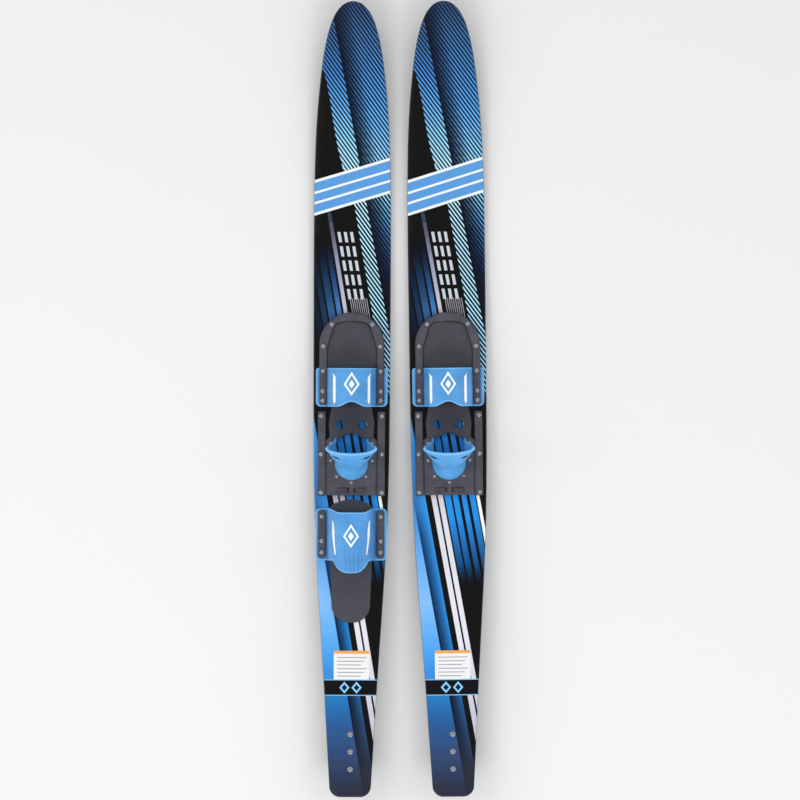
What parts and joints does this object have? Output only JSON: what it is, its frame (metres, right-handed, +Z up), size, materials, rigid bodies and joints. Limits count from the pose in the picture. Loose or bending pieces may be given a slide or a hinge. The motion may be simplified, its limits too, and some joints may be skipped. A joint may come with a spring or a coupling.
{
  "type": "water ski pair",
  "caption": "Pair of combination water skis with adjustable slide bindings; one ski also has a rear toe piece for single-ski riding.",
  "frame": {"origin": "on the floor, midway between the skis and midway between their tips and tails", "axes": "+Z up, +Y from tails to tips, +X from the ski with two toe pieces to the other ski"},
  "size_m": [0.3712, 1.7053, 0.1334],
  "materials": {
    "deck_sheet": "printed gloss",
    "foam_core": "sealed composite core",
    "base_shell": "moulded gloss",
    "insert_brass": "machined",
    "fin_plastic": "moulded satin",
    "stainless": "polished stainless",
    "binding_plastic": "fine grain",
    "rail_plastic": "fine grain",
    "lock_plastic": "satin",
    "blue_rubber": "satin sheet rubber",
    "foot_pad": "hatched foam"
  },
  "bodies": {
    "left_ski": {"left_deck_sheet": "deck_sheet", "left_core": "foam_core", "left_base_shell": "base_shell", "left_binding_inserts": "insert_brass", "left_fin": "fin_plastic", "left_fin_inserts": "insert_brass", "left_fin_washers": "stainless", "left_fin_screws": "stainless", "left_horseshoe_frame": "binding_plastic", "left_frame_screws": "stainless", "left_toe_piece": "blue_rubber", "left_front_foot_pad": "foot_pad", "left_heel_rail_left": "rail_plastic", "left_heel_rail_right": "rail_plastic", "left_rail_screws": "stainless", "rear_toe_piece": "blue_rubber", "rear_clamp_bar_left": "binding_plastic", "rear_clamp_bar_right": "binding_plastic", "rear_clamp_screws": "stainless", "rear_foot_pad": "foot_pad"},
    "left_heel": {"left_heel_plate": "binding_plastic", "left_heel_backing_plate": "binding_plastic", "left_heel_pad": "foot_pad", "left_heel_rivets": "stainless", "left_heel_cup": "blue_rubber", "left_lock_spring": "stainless"},
    "left_lock_left": {"left_lock_slide_left": "lock_plastic"},
    "left_lock_right": {"left_lock_slide_right": "lock_plastic"},
    "right_ski": {"right_deck_sheet": "deck_sheet", "right_core": "foam_core", "right_base_shell": "base_shell", "right_binding_inserts": "insert_brass", "right_fin": "fin_plastic", "right_fin_inserts": "insert_brass", "right_fin_washers": "stainless", "right_fin_screws": "stainless", "right_horseshoe_frame": "binding_plastic", "right_frame_screws": "stainless", "right_toe_piece": "blue_rubber", "right_front_foot_pad": "foot_pad", "right_heel_rail_left": "rail_plastic", "right_heel_rail_right": "rail_plastic", "right_rail_screws": "stainless"},
    "right_heel": {"right_heel_plate": "binding_plastic", "right_heel_backing_plate": "binding_plastic", "right_heel_pad": "foot_pad", "right_heel_rivets": "stainless", "right_heel_cup": "blue_rubber", "right_lock_spring": "stainless"},
    "right_lock_left": {"right_lock_slide_left": "lock_plastic"},
    "right_lock_right": {"right_lock_slide_right": "lock_plastic"}
  },
  "joints": [
    {"name": "right_ski_lift", "type": "slide", "parent": "left_ski", "child": "right_ski", "axis": [0, 0, 1], "range_m": [0, 0.25]},
    {"name": "left_heel_slide", "type": "slide", "parent": "left_ski", "child": "left_heel", "axis": [0.0087, 0.9981, -0.0612], "range_m": [0, 0.054]},
    {"name": "left_lock_left_slide", "type": "slide", "parent": "left_heel", "child": "left_lock_left", "axis": [1, -0.0087, 0], "range_m": [0, 0.004], "stiffness_N_per_m": 800, "springref_m": -0.002, "deforming": ["left_lock_spring"]},
    {"name": "left_lock_right_slide", "type": "slide", "parent": "left_heel", "child": "left_lock_right", "axis": [-1, 0.0087, 0], "range_m": [0, 0.004], "stiffness_N_per_m": 800, "springref_m": -0.002},
    {"name": "right_heel_slide", "type": "slide", "parent": "right_ski", "child": "right_heel", "axis": [-0.0087, 0.9981, -0.0612], "range_m": [0, 0.054]},
    {"name": "right_lock_left_slide", "type": "slide", "parent": "right_heel", "child": "right_lock_left", "axis": [1, 0.0087, 0], "range_m": [0, 0.004], "stiffness_N_per_m": 800, "springref_m": -0.002, "deforming": ["right_lock_spring"]},
    {"name": "right_lock_right_slide", "type": "slide", "parent": "right_heel", "child": "right_lock_right", "axis": [-1, -0.0087, 0], "range_m": [0, 0.004], "stiffness_N_per_m": 800, "springref_m": -0.002}
  ],
  "couplings": [
    {"joint": "left_lock_right_slide", "follows": "left_lock_left_slide", "ratio": 1},
    {"joint": "right_lock_right_slide", "follows": "right_lock_left_slide", "ratio": 1}
  ]
}
